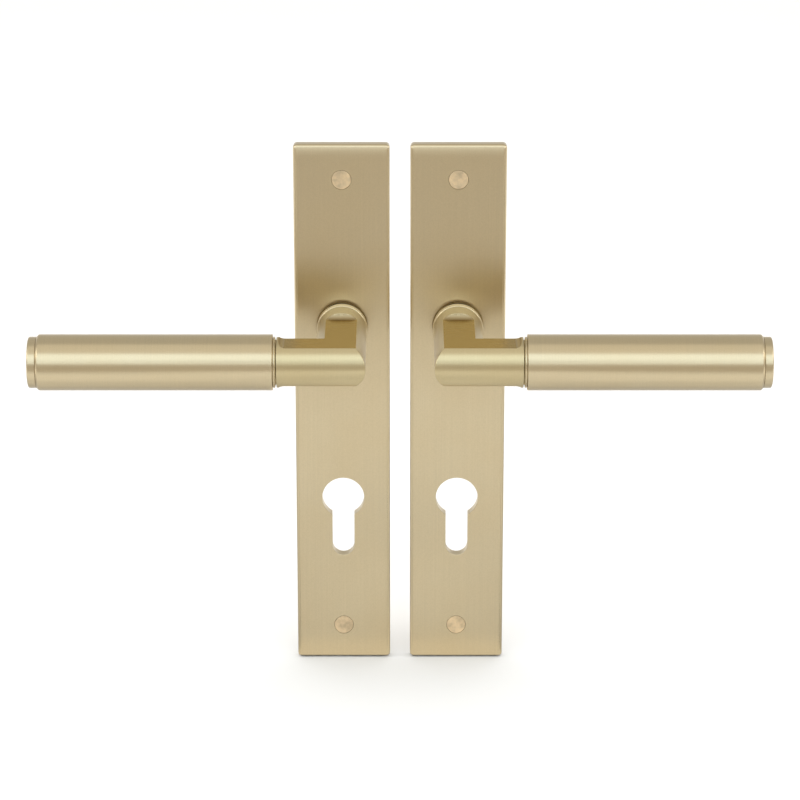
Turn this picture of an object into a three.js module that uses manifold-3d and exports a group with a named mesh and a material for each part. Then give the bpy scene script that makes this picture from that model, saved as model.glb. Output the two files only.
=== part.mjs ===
// A pair of lever door handles on long backplates, each plate cut for a euro profile cylinder.
//
// Millimetres. +X is right, +Z is up and the handles face -Y. The door plane, where the plates' backs
// lie, is Y = 0. The origin is midway between the two plates at the height of the lever axes.
//
// Each handle is modelled once in its own frame and placed twice, the left one mirrored:
//   x  outboard, along the grip      y  up      z  out of the door
// with its origin where the lever axis meets the door plane.

import * as THREE from "three";
import { mergeVertices } from "three/addons/utils/BufferGeometryUtils.js";
import Module from "manifold-3d";

const wasm = await Module();
wasm.setup();

// ---------------------------------------------------------------- driving dimensions

const PLATE_WIDTH = 44;
const PLATE_HEIGHT = 252.5;
const PLATE_THICKNESS = 5.5;
const PLATE_CORNER = 1.8;
const PLATE_EDGE = 1.2; // rounding between the face and the sides
const PLATE_GAP = 9.5; // free space between the two plates
const LEVER_ABOVE_CENTRE = 40; // lever axis above the middle of the plate

const CYLINDER_BELOW_LEVER = 85; // lever axis to the centre of the cylinder's head
const PROFILE_HEAD = 9.9; // radius of the head of the cut-out
const PROFILE_STEM = 10.4; // width of the stem
const PROFILE_DROP = 29; // centre of the head to the bottom of the stem

const FIXING_FROM_CENTRE = 109.8; // fixings above and below the middle of the plate
const PLUG_RADIUS = 4.45;
const PLUG_THICKNESS = 1.25;
const SEAT_RADIUS = 4.75; // seat that holds the plug and the head of the fixing
const SEAT_FLOOR = 1.5; // metal left between the seat and the door
const FIXING_HOLE = 3.7;
const FIXING_LENGTH = 28; // how far a fixing reaches into the door
const SCREW_RADIUS = 2;
const POST_RADIUS = 3.4;
const HEAD_THICKNESS = 2.1;

const COLLAR_HOLE = 11.65; // hole in the plate round the lever's collar
const RECESS_RADIUS = 17; // pocket in the back that holds the bush, the spring and the circlip
const RECESS_DEPTH = 4;

const AXIS_DEPTH = 59.2; // door plane to the axis of the grip
const BAR_RADIUS = 11.4; // neck and bar
const BAR_FLAT = 8.9; // height of the flats above and below the middle of the bar
const FLAT_RUNOUT = 2.5; // radius of the hollow where a flat runs out into the round
const NECK_FLAT_START = 22.2; // the flats start here on the neck
const BAR_FLAT_END = 27.5; // and end here on the bar
const RIM_RADIUS = 11.7; // rim at the foot of the neck, standing clear of the plate
const RIM_FRONT = 11.9;
const RIM_CHAMFER = 0.2;
const RIM_BACK = 8.7;
const COLLAR_RADIUS = 10.8; // narrower collar between the rim and the bush
const COLLAR_BACK = 4.3;
const SHANK_RADIUS = 9; // shank that turns in the bush
const CIRCLIP_GROOVE = 8.2;

const BAR_END = 28.4;
const RING_START = 29.1; // thin ring between the bar and the sleeve
const RING_RADIUS = 11.45;
const SLEEVE_START = 30.2;
const SLEEVE_END = 135.6;
const SLEEVE_RADIUS = 12.6;
const SLEEVE_BORE = 10.5;
const SLEEVE_CHAMFER = 0.9;
const CORE_RADIUS = 10.2;
const BOBBIN_LENGTH = 14; // full-width part of the core inside the sleeve
const TIE_RADIUS = 4;
const TENON_RADIUS = 5.9;
const CAP_RADIUS = 11.5;
const CAP_END = 139.4;
const CAP_EDGE = 0.8;
const CAP_SPIGOT = 7.6; // length of the cap that goes into the sleeve

const SPINDLE = 7.8; // square spindle, across flats
const SOCKET = 8.3; // square socket in the lever
const SOCKET_DEPTH = 26;
const SPINDLE_BEHIND = 52; // how far the spindle reaches into the door
const GRUB_RADIUS = 2.5;
const GRUB_AT = 15.2; // distance of the grub screw from the door plane

const GAP = 0.3; // clearance between pieces that touch
const ROUND = 40; // sides of the large round pieces
const SMALL_ROUND = 20; // sides of the small ones

const HANDLE_X = (PLATE_GAP + PLATE_WIDTH) / 2;

// ---------------------------------------------------------------- materials

const finish = {
  brass: { color: 0xc4a66c, roughness: 0.34, metalness: 1 },
  plug: { color: 0xcfaa74, roughness: 0.3, metalness: 1 },
  steel: { color: 0x9a9ba0, roughness: 0.35, metalness: 1 },
  spring: { color: 0x6b6d72, roughness: 0.45, metalness: 1 },
  nylon: { color: 0x1c1c1e, roughness: 0.6, metalness: 0 },
};

// ---------------------------------------------------------------- helpers

// A closed three.js geometry as a solid for joining and cutting.
function solid(geometry) {
  const bare = geometry.clone();
  bare.deleteAttribute("normal");
  bare.deleteAttribute("uv");
  const merged = mergeVertices(bare, 1e-4);
  const vertProperties = new Float32Array(merged.attributes.position.array);
  const triVerts = new Uint32Array(merged.index.array);
  return new wasm.Manifold(new wasm.Mesh({ numProp: 3, vertProperties, triVerts }));
}

function geometryOf(made) {
  const mesh = made.getMesh();
  const geometry = new THREE.BufferGeometry();
  geometry.setAttribute("position", new THREE.BufferAttribute(mesh.vertProperties, 3));
  geometry.setIndex(new THREE.BufferAttribute(mesh.triVerts, 1));
  geometry.computeVertexNormals();
  return geometry;
}

// A turned piece. The profile's points are [radius, distance along the axis], with the distance rising
// along the outside, and it starts and ends on the axis or closes on itself.
function turned(profile, axis, sides = ROUND) {
  const points = profile.map(([radius, along]) => new THREE.Vector2(radius, along));
  const geometry = new THREE.LatheGeometry(points, sides);
  if (axis === "z") geometry.rotateX(Math.PI / 2);
  if (axis === "x") geometry.rotateZ(-Math.PI / 2);
  return geometry;
}

function rod(radius, from, to, axis, sides = ROUND) {
  const profile = [[0, from], [radius, from], [radius, to], [0, to]];
  return turned(profile, axis, sides);
}

function tube(inner, outer, from, to, axis, sides = ROUND) {
  const profile = [[inner, from], [outer, from], [outer, to], [inner, to], [inner, from]];
  return turned(profile, axis, sides);
}

function block(x0, x1, y0, y1, z0, z1) {
  const geometry = new THREE.BoxGeometry(x1 - x0, y1 - y0, z1 - z0);
  return geometry.translate((x0 + x1) / 2, (y0 + y1) / 2, (z0 + z1) / 2);
}

function slab(shape, from, to, curveSegments = 8) {
  const options = { depth: to - from, bevelEnabled: false, curveSegments };
  return new THREE.ExtrudeGeometry(shape, options).translate(0, 0, from);
}

function roundedRectangle(width, height, corner) {
  const x = width / 2;
  const y = height / 2;
  const shape = new THREE.Shape();
  shape.moveTo(x, -y + corner);
  shape.absarc(x - corner, y - corner, corner, 0, Math.PI / 2);
  shape.absarc(-x + corner, y - corner, corner, Math.PI / 2, Math.PI);
  shape.absarc(-x + corner, -y + corner, corner, Math.PI, 1.5 * Math.PI);
  shape.absarc(x - corner, -y + corner, corner, 1.5 * Math.PI, 2 * Math.PI);
  return shape;
}

// ---------------------------------------------------------------- backplate and its fixings

const plateMiddle = -LEVER_ABOVE_CENTRE;
const fixingHeights = {
  top: plateMiddle + FIXING_FROM_CENTRE,
  bottom: plateMiddle - FIXING_FROM_CENTRE,
};

// The outline of the euro profile cut-out, about the centre of its head.
function euroProfile() {
  const half = PROFILE_STEM / 2;
  const meet = Math.acos(half / PROFILE_HEAD);
  const shape = new THREE.Shape();
  shape.absarc(0, 0, PROFILE_HEAD, -meet, Math.PI + meet);
  shape.absarc(0, half - PROFILE_DROP, half, Math.PI, 2 * Math.PI);
  return shape;
}

function backplate() {
  const width = PLATE_WIDTH - 2 * PLATE_EDGE;
  const height = PLATE_HEIGHT - 2 * PLATE_EDGE;
  const blank = new THREE.ExtrudeGeometry(roundedRectangle(width, height, PLATE_CORNER - PLATE_EDGE), {
    depth: PLATE_THICKNESS - PLATE_EDGE,
    bevelEnabled: true,
    bevelThickness: PLATE_EDGE,
    bevelSize: PLATE_EDGE,
    bevelSegments: 2,
    curveSegments: 2,
  }).translate(0, plateMiddle, 0);
  const behind = block(-PLATE_WIDTH, PLATE_WIDTH, -PLATE_HEIGHT, PLATE_HEIGHT, -PLATE_THICKNESS, 0);
  const profile = slab(euroProfile(), -1, PLATE_THICKNESS + 1).translate(0, -CYLINDER_BELOW_LEVER, 0);
  let plate = solid(blank).subtract(solid(behind));
  plate = plate.subtract(solid(profile));
  plate = plate.subtract(solid(rod(COLLAR_HOLE, -1, PLATE_THICKNESS + 1, "z")));
  plate = plate.subtract(solid(rod(RECESS_RADIUS, -1, RECESS_DEPTH, "z")));
  for (const height of Object.values(fixingHeights)) {
    const seat = rod(SEAT_RADIUS, SEAT_FLOOR, PLATE_THICKNESS + 1, "z", SMALL_ROUND);
    const hole = rod(FIXING_HOLE, -1, SEAT_FLOOR + 1, "z", SMALL_ROUND);
    plate = plate.subtract(solid(seat.translate(0, height, 0)));
    plate = plate.subtract(solid(hole.translate(0, height, 0)));
  }
  return geometryOf(plate);
}

// A plain round plug that covers a fixing, its face just proud of the plate.
function plug(height) {
  const front = PLATE_THICKNESS + 0.1;
  const chamfer = 0.2;
  const profile = [
    [0, front - PLUG_THICKNESS],
    [PLUG_RADIUS, front - PLUG_THICKNESS],
    [PLUG_RADIUS, front - chamfer],
    [PLUG_RADIUS - chamfer, front],
    [0, front],
  ];
  return turned(profile, "z", SMALL_ROUND + 4).translate(0, height, 0);
}

// The head that both kinds of fixing have in the plate's seat.
const headBack = SEAT_FLOOR + GAP;
const headFront = headBack + HEAD_THICKNESS;
const headRadius = SEAT_RADIUS - GAP;

// A screw: a flat head with a hexagon socket, and a shank that goes through the door.
function fixingScrew(height) {
  const profile = [
    [0, -FIXING_LENGTH],
    [SCREW_RADIUS - 0.5, -FIXING_LENGTH],
    [SCREW_RADIUS, 0.5 - FIXING_LENGTH],
    [SCREW_RADIUS, headBack],
    [headRadius, headBack],
    [headRadius, headFront],
    [0, headFront],
  ];
  const socket = rod(1.6, headBack + 0.6, headFront + 1, "z", 6);
  const made = solid(turned(profile, "z", SMALL_ROUND)).subtract(solid(socket));
  return geometryOf(made).translate(0, height, 0);
}

// A threaded sleeve that takes the screw from the other side of the door.
function fixingPost(height) {
  const bore = SCREW_RADIUS + 0.2;
  const boreEnd = -1;
  const profile = [
    [bore, -FIXING_LENGTH],
    [POST_RADIUS, -FIXING_LENGTH],
    [POST_RADIUS, headBack],
    [headRadius, headBack],
    [headRadius, headFront],
    [0, headFront],
    [0, boreEnd],
    [bore, boreEnd],
    [bore, -FIXING_LENGTH],
  ];
  return turned(profile, "z", SMALL_ROUND).translate(0, height, 0);
}

// ---------------------------------------------------------------- pieces in the pocket behind the plate

const bushFront = RECESS_DEPTH - GAP;
const bushBack = bushFront - 1.1;
const washerFront = bushBack - GAP;
const washerBack = washerFront - 0.8;
const clipFront = washerBack - GAP - 0.05;
const clipBack = clipFront - 0.5;
const springRadius = 14;
const springWire = 0.45;

function neckBush() {
  return tube(SHANK_RADIUS + GAP, RECESS_RADIUS - 0.4, bushBack, bushFront, "z");
}

// The washer that the lever turns, with the tab that winds the spring.
function driveWasher() {
  const outer = 11.4;
  const tabHalf = 1.6;
  const ring = solid(tube(SHANK_RADIUS + GAP, outer, washerBack, washerFront, "z"));
  const tab = solid(block(-tabHalf, tabHalf, outer - 0.8, springRadius - springWire - GAP, washerBack, washerFront));
  return geometryOf(ring.add(tab));
}

// An open spring ring in the shank's groove, with a round lug at each end.
function circlip() {
  const inner = CIRCLIP_GROOVE + 0.15;
  const outer = 10.2;
  const open = THREE.MathUtils.degToRad(24);
  const lug = 1.25;
  const lugCentre = inner + lug + 0.05;
  const start = -Math.PI / 2 + open;
  const end = 1.5 * Math.PI - open;
  const shape = new THREE.Shape();
  shape.absarc(0, 0, outer, start, end, false);
  shape.absarc(0, 0, inner, end, start, true);
  let made = solid(slab(shape, clipBack, clipFront, 14));
  for (const angle of [start, end]) {
    const eye = rod(lug, clipBack, clipFront, "z", 12);
    made = made.add(solid(eye.translate(lugCentre * Math.cos(angle), lugCentre * Math.sin(angle), 0)));
  }
  return geometryOf(made);
}

// One turn of wire. One end hooks outwards into the plate, the other ends beside the washer's tab.
class SpringLine extends THREE.Curve {
  getPoint(t, target = new THREE.Vector3()) {
    const turn = THREE.MathUtils.lerp(0.56, 2.38, t) * Math.PI;
    const hook = THREE.MathUtils.smoothstep(t, 0.93, 1);
    const radius = springRadius + hook * 2.2;
    const level = (washerBack + washerFront) / 2;
    return target.set(radius * Math.cos(turn), radius * Math.sin(turn), level);
  }
}

function torsionSpring() {
  const section = new THREE.Shape();
  section.absarc(0, 0, springWire, 0, 2 * Math.PI);
  const options = { steps: 44, bevelEnabled: false, curveSegments: 3, extrudePath: new SpringLine() };
  return new THREE.ExtrudeGeometry(section, options);
}

// ---------------------------------------------------------------- lever

// The round bar bent once at a sharp 45 degree mitre: up the neck, then outboard along the grip.
function mitredBar(start, end) {
  const geometry = new THREE.CylinderGeometry(BAR_RADIUS, BAR_RADIUS, 2, ROUND, 2);
  const position = geometry.attributes.position;
  for (let i = 0; i < position.count; i++) {
    const across = position.getX(i);
    const station = Math.round(position.getY(i));
    const up = -position.getZ(i);
    const x = station > 0 ? end : across;
    const z = station < 0 ? start : AXIS_DEPTH - across;
    position.setXYZ(i, x, up, z);
  }
  return geometry;
}

// What is milled off the top to leave a flat: a block whose one end is rounded to the runout radius.
// It is drawn along the bar, from the round end at zero to "length", and as wide as the bar.
function flatCutter(length) {
  const top = BAR_RADIUS + 1;
  const reach = BAR_RADIUS + 1;
  const shape = new THREE.Shape();
  shape.moveTo(length, BAR_FLAT);
  shape.lineTo(length, top);
  shape.lineTo(0, top);
  shape.lineTo(0, BAR_FLAT + FLAT_RUNOUT);
  shape.absarc(FLAT_RUNOUT, BAR_FLAT + FLAT_RUNOUT, FLAT_RUNOUT, Math.PI, 1.5 * Math.PI);
  return slab(shape, -reach, reach, 5);
}

function leverBody() {
  const corner = BAR_RADIUS + 1;
  const neckLength = AXIS_DEPTH + corner - NECK_FLAT_START;
  const barLength = BAR_FLAT_END + corner;
  const neckCut = flatCutter(neckLength).rotateY(-Math.PI / 2).translate(0, 0, NECK_FLAT_START);
  const barCut = flatCutter(barLength).rotateY(Math.PI).translate(BAR_FLAT_END, 0, AXIS_DEPTH);
  const cutTop = solid(neckCut).add(solid(barCut));
  const cutBottom = cutTop.mirror([0, 1, 0]);
  const foot = [
    [0, GAP],
    [SHANK_RADIUS, GAP],
    [SHANK_RADIUS, clipBack - 0.1],
    [CIRCLIP_GROOVE, clipBack - 0.1],
    [CIRCLIP_GROOVE, clipFront + 0.1],
    [SHANK_RADIUS, clipFront + 0.1],
    [SHANK_RADIUS, COLLAR_BACK],
    [COLLAR_RADIUS, COLLAR_BACK],
    [COLLAR_RADIUS, RIM_BACK],
    [RIM_RADIUS, RIM_BACK],
    [RIM_RADIUS, RIM_FRONT - RIM_CHAMFER],
    [RIM_RADIUS - RIM_CHAMFER, RIM_FRONT],
    [0, RIM_FRONT],
  ];
  const socketHalf = SOCKET / 2;
  const socket = block(-socketHalf, socketHalf, -socketHalf, socketHalf, -1, SOCKET_DEPTH);
  const grubHole = rod(GRUB_RADIUS + GAP, -BAR_RADIUS - 1, -socketHalf + 0.5, "y", 16);
  const tenonHole = rod(TENON_RADIUS + GAP, BAR_END - 8, BAR_END + 1, "x", SMALL_ROUND);
  let body = solid(mitredBar(RIM_BACK + 1, BAR_END));
  body = body.subtract(cutTop).subtract(cutBottom);
  body = body.add(solid(turned(foot, "z")));
  body = body.subtract(solid(socket));
  body = body.subtract(solid(grubHole.translate(0, 0, GRUB_AT)));
  body = body.subtract(solid(tenonHole.translate(0, 0, AXIS_DEPTH)));
  return geometryOf(body);
}

// The screw under the neck that clamps the lever to the spindle.
function grubScrew() {
  const inner = -SOCKET / 2 - GAP;
  const outer = inner - 5.6;
  const screw = solid(rod(GRUB_RADIUS, outer, inner, "y", 16));
  const hexagon = solid(rod(1.4, outer - 1, outer + 2.4, "y", 6));
  return geometryOf(screw.subtract(hexagon)).translate(0, 0, GRUB_AT);
}

const gripPlace = (geometry) => geometry.translate(0, 0, AXIS_DEPTH);

// The core that carries the sleeve: a tenon into the end of the bar, a full bobbin, then a tie rod.
function gripCore() {
  const shoulder = BAR_END + GAP;
  const bobbinEnd = shoulder + BOBBIN_LENGTH;
  const end = SLEEVE_END - CAP_SPIGOT - GAP;
  const profile = [
    [0, shoulder - 7.5],
    [TENON_RADIUS, shoulder - 7.5],
    [TENON_RADIUS, shoulder],
    [CORE_RADIUS, shoulder],
    [CORE_RADIUS, bobbinEnd],
    [TIE_RADIUS, bobbinEnd],
    [TIE_RADIUS, end],
    [0, end],
  ];
  return gripPlace(turned(profile, "x"));
}

function gripRing() {
  return gripPlace(tube(CORE_RADIUS + GAP, RING_RADIUS, RING_START, SLEEVE_START - GAP, "x"));
}

function gripSleeve() {
  const chamfered = SLEEVE_RADIUS - SLEEVE_CHAMFER;
  const profile = [
    [SLEEVE_BORE, SLEEVE_START],
    [SLEEVE_RADIUS - 0.2, SLEEVE_START],
    [SLEEVE_RADIUS, SLEEVE_START + 0.2],
    [SLEEVE_RADIUS, SLEEVE_END - SLEEVE_CHAMFER],
    [chamfered, SLEEVE_END],
    [SLEEVE_BORE, SLEEVE_END],
    [SLEEVE_BORE, SLEEVE_START],
  ];
  return gripPlace(turned(profile, "x"));
}

function endCap() {
  const spigot = SLEEVE_BORE - GAP;
  const shoulder = SLEEVE_END + GAP;
  const inside = SLEEVE_END - CAP_SPIGOT;
  const profile = [
    [0, inside],
    [spigot, inside],
    [spigot, shoulder],
    [CAP_RADIUS, shoulder],
    [CAP_RADIUS, CAP_END - CAP_EDGE],
    [CAP_RADIUS - 0.3 * CAP_EDGE, CAP_END - 0.3 * CAP_EDGE],
    [CAP_RADIUS - CAP_EDGE, CAP_END],
    [0, CAP_END],
  ];
  return gripPlace(turned(profile, "x"));
}

// The square spindle that the levers on both sides of the door share.
function spindle() {
  const half = SPINDLE / 2;
  return block(-half, half, -half, half, -SPINDLE_BEHIND, SOCKET_DEPTH - GAP);
}

// ---------------------------------------------------------------- the two handles

function piece(name, geometry, look) {
  const mesh = new THREE.Mesh(geometry, new THREE.MeshStandardMaterial(look));
  mesh.name = name;
  return mesh;
}

function handle(side) {
  const left = side === "left";
  const group = new THREE.Group();
  const add = (name, geometry, look) => group.add(piece(`${side}_${name}`, geometry, look));

  add("backplate", backplate(), finish.brass);
  for (const [end, height] of Object.entries(fixingHeights)) {
    add(`plug_${end}`, plug(height), finish.plug);
    if (left) add(`fixing_screw_${end}`, fixingScrew(height), finish.steel);
    else add(`fixing_post_${end}`, fixingPost(height), finish.steel);
  }
  add("neck_bush", neckBush(), finish.nylon);
  add("torsion_spring", torsionSpring(), finish.spring);
  add("drive_washer", driveWasher(), finish.steel);
  add("circlip", circlip(), finish.spring);

  add("lever_body", leverBody(), finish.brass);
  add("grub_screw", grubScrew(), finish.spring);
  add("grip_core", gripCore(), finish.brass);
  add("grip_ring", gripRing(), finish.brass);
  add("grip_sleeve", gripSleeve(), finish.brass);
  add("end_cap", endCap(), finish.brass);
  if (left) add("spindle", spindle(), finish.steel);

  group.rotation.x = Math.PI / 2;
  group.position.x = left ? -HANDLE_X : HANDLE_X;
  group.scale.x = left ? -1 : 1;
  return group;
}

const pair = new THREE.Group();
pair.add(handle("left"), handle("right"));

export default pair;
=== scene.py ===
"""A pair of satin brass lever door handles on long backplates, on a pale floor in a soft studio.

Each handle is drawn once in its own frame, in millimetres, and placed twice, the left one mirrored:
x outboard along the grip, y up, z out of the door, from where the lever axis meets the door plane.
"""

import math

import bmesh
import bpy
from mathutils import Matrix, Vector


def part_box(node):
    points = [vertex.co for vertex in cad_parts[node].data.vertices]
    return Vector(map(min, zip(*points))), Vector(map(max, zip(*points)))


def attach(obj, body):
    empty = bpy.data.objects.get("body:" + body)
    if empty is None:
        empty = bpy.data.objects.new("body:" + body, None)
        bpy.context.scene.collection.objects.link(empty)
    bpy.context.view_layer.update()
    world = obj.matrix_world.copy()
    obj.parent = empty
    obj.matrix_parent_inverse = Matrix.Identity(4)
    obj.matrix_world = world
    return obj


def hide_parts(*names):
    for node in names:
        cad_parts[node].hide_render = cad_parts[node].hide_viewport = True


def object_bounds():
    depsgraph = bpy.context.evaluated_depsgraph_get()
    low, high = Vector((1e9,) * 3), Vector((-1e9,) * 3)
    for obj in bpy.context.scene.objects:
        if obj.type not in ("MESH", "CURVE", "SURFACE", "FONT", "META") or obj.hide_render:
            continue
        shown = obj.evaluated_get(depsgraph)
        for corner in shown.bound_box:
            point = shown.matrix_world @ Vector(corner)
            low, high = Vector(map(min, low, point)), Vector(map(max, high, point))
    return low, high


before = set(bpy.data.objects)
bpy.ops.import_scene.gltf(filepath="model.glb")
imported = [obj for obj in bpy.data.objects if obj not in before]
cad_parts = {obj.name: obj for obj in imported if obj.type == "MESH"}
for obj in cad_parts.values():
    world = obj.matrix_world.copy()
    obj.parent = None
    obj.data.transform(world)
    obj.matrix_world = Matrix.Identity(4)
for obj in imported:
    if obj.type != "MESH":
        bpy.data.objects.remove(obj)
cad_low, cad_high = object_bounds()

# -------------------- sizes read from the frame

MM = 0.001  # one millimetre in metres

plate_low, plate_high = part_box("right_backplate")
HANDLE_X = (plate_low.x + plate_high.x) / 2 / MM


def span(node):
    """Lowest and highest corner of a right-hand node in the handle's own frame, in millimetres."""
    low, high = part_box(node)
    first = Vector((low.x / MM - HANDLE_X, low.z / MM, -high.y / MM))
    last = Vector((high.x / MM - HANDLE_X, high.z / MM, -low.y / MM))
    return first, last


PLATE_LOW, PLATE_HIGH = span("right_backplate")
PLATE_FACE = PLATE_HIGH.z
PLATE_WIDTH = PLATE_HIGH.x - PLATE_LOW.x
PLATE_HEIGHT = PLATE_HIGH.y - PLATE_LOW.y
PLATE_MIDDLE = (PLATE_HIGH.y + PLATE_LOW.y) / 2

SLEEVE_LOW, SLEEVE_HIGH = span("right_grip_sleeve")
SLEEVE_RADIUS = (SLEEVE_HIGH.y - SLEEVE_LOW.y) / 2
AXIS = (SLEEVE_HIGH.z + SLEEVE_LOW.z) / 2
BAR_END = span("right_lever_body")[1].x
RING_LOW, RING_HIGH = span("right_grip_ring")
CORE_LOW, CORE_HIGH = span("right_grip_core")
CAP_LOW, CAP_HIGH = span("right_end_cap")
PLUG_LOW, PLUG_HIGH = span("right_plug_top")
BUSH_LOW, BUSH_HIGH = span("right_neck_bush")
WASHER_LOW, WASHER_HIGH = span("right_drive_washer")
CLIP_LOW, CLIP_HIGH = span("right_circlip")
GRUB_LOW, GRUB_HIGH = span("right_grub_screw")
SCREW_LOW, SCREW_HIGH = span("right_fixing_post_top")
SPINDLE_LOW, SPINDLE_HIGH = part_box("left_spindle")


def plug_height(end):
    low, high = span(f"right_plug_{end}")
    return (low.y + high.y) / 2


FIXING_HEIGHTS = {end: plug_height(end) for end in ("top", "bottom")}

# -------------------- sizes of details, in millimetres

PLATE_CORNER = 1.8
PLATE_EDGE = 1.2
CROWN_LENGTH = 9.0  # the plate's face falls away over this length at the top
CROWN_DROP = 0.8
CROWN_POWER = 2.2
CROWN_STEPS = 12
CYLINDER_BELOW_LEVER = 85.0  # to the centre of the head of the cut-out
PROFILE_HEAD = 9.9  # radius of the head
PROFILE_STEM = 10.4  # width of the stem
PROFILE_DROP = 29.0  # centre of the head to the bottom of the stem
SEAT_RADIUS = 4.56  # seat of a plug and the head of its fixing
SEAT_FLOOR = 1.5
FIXING_HOLE = 3.7
COLLAR_HOLE = 11.65
RECESS_RADIUS = 17.0
RECESS_DEPTH = 4.0
GAP = 0.3  # between a turned piece and the one inside it
CRISP = 0.18  # broken edge of a cut
CAP_GAP = 0.1  # between the sleeve and the shoulder of its cap
TURNING_PITCH = 0.7  # between the rings that the tool left on a plug
TURNING_DEPTH = 0.02

BAR_RADIUS = 11.4
BAR_FLAT = 8.9  # half the distance between the flats
FLAT_RUNOUT = 2.5
NECK_FLAT_START = 22.2
BAR_FLAT_END = 27.5
MITRE_EDGE = 0.3
FLAT_EDGE = 0.16
RIM_RADIUS = 11.7
RIM_FRONT = 11.9
RIM_BACK = 8.7
COLLAR_RADIUS = 10.8
COLLAR_BACK = 4.3
SHANK_RADIUS = 9.0
GROOVE_RADIUS = 8.2
SOCKET_HALF = 4.15
SOCKET_DEPTH = 26.0
GRUB_AT = 15.2
GRUB_HOLE = 2.8
TENON_RADIUS = 5.9
TENON_HOLE = 6.2
TENON_DEPTH = 8.0
SLEEVE_BORE = 10.5
SPIGOT_RADIUS = 10.2  # part of the cap inside the sleeve
BOBBIN_LENGTH = 14
TIE_RADIUS = 4.0
SPRING_RADIUS = 14.0
SPRING_WIRE = 0.45
HEAD_BACK = SCREW_HIGH.z - 2.1  # back of a fixing's head
HEX_SOCKET = 1.4  # middle to a flat
SCREW_RADIUS = 2.0
POST_RADIUS = 3.4
POST_BORE = 2.2
POST_BORE_END = -1.2
THREAD_DEPTH = 0.3
THREAD_PITCH = 0.7

SIDES = 128  # round the large turned pieces
FINE_SIDES = 48  # round the small ones

# -------------------- outlines and sections


def turn(degrees, radius=1.0):
    angle = math.radians(degrees)
    return radius * math.cos(angle), radius * math.sin(angle)


def arc(centre, radius, start, end, steps):
    """Points on an arc, angles in degrees, both ends included."""
    points = []
    for i in range(steps + 1):
        dx, dy = turn(start + (end - start) * i / steps, radius)
        points.append((centre[0] + dx, centre[1] + dy))
    return points


def circle(radius, sides=FINE_SIDES, centre=(0.0, 0.0)):
    return arc(centre, radius, 0, 360, sides)[:-1]


def polygon_ring(corners, inner, sides):
    """A regular polygon, "inner" from the middle to a flat, with points at the angles of a circle."""
    points = []
    step = 360 / corners
    for i in range(sides):
        angle = 360 * i / sides
        off = (angle + step / 2) % step - step / 2
        points.append(turn(angle, inner / math.cos(math.radians(step / 2 - abs(off)))))
    return points


def rounded_rectangle(width, height, corner, steps=8):
    x = width / 2 - corner
    y = height / 2 - corner
    points = []
    for i, (sx, sy) in enumerate(((1, 1), (-1, 1), (-1, -1), (1, -1))):
        points += arc((sx * x, sy * y), corner, 90 * i, 90 * i + 90, steps)
    return points


def euro_profile(offset, steps=40):
    """The euro profile cut-out about the centre of its head, made larger by offset."""
    half = PROFILE_STEM / 2 + offset
    head = PROFILE_HEAD + offset
    meet = math.degrees(math.acos(half / head))
    top = arc((0, 0), head, -meet, 180 + meet, steps)
    low = arc((0, PROFILE_STEM / 2 - PROFILE_DROP), half, 180, 360, steps // 2)
    return top + low


def softened(profile, steps=4):
    """A profile of (radius, along, softness): each corner becomes a short curve of that size."""
    points = []
    for i, (radius, along, soft) in enumerate(profile):
        corner = Vector((radius, along))
        ends = i in (0, len(profile) - 1)
        if ends or soft <= 0:
            points.append(tuple(corner))
            continue
        before = Vector(profile[i - 1][:2]) - corner
        after = Vector(profile[i + 1][:2]) - corner
        reach_in = corner + before.normalized() * min(soft, before.length * 0.45)
        reach_out = corner + after.normalized() * min(soft, after.length * 0.45)
        for k in range(steps + 1):
            t = k / steps
            points.append(tuple(reach_in.lerp(corner, t).lerp(corner.lerp(reach_out, t), t)))
    return points


# -------------------- skinning


def bridge(bm, rings):
    """Joins each ring to the next with quads."""
    for near, far in zip(rings, rings[1:]):
        for i in range(len(near)):
            j = (i + 1) % len(near)
            bm.faces.new((near[i], near[j], far[j], far[i]))


def skin(bm, sections, closed=False, caps=True):
    """A surface through sections of equal length. Open ones are closed with a face at each end."""
    rings = [[bm.verts.new(point) for point in section] for section in sections]
    bridge(bm, rings + rings[:1] if closed else rings)
    if caps and not closed:
        bm.faces.new(rings[0])
        bm.faces.new(rings[-1])
    return rings


def along_axis(points, along, axis, middle=(0.0, 0.0)):
    """Points of a flat outline set at a distance along an axis that runs through "middle"."""
    a, b = middle
    if axis == "x":
        return [(along, v + a, u + b) for u, v in points]
    if axis == "y":
        return [(u + a, along, v + b) for u, v in points]
    return [(u + a, v + b, along) for u, v in points]


def circles(profile, sides=FINE_SIDES, axis="z", middle=(0.0, 0.0)):
    """A circle for each (radius, along) of a profile."""
    return [along_axis(circle(radius, sides), along, axis, middle) for radius, along in profile]


def turned(bm, profile, axis, sides=SIDES, middle=(0.0, 0.0), closed=False):
    return skin(bm, circles(profile, sides, axis, middle), closed)


GRIP = (0.0, AXIS)  # the axis of the grip, for turned pieces along x

# -------------------- materials


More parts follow.
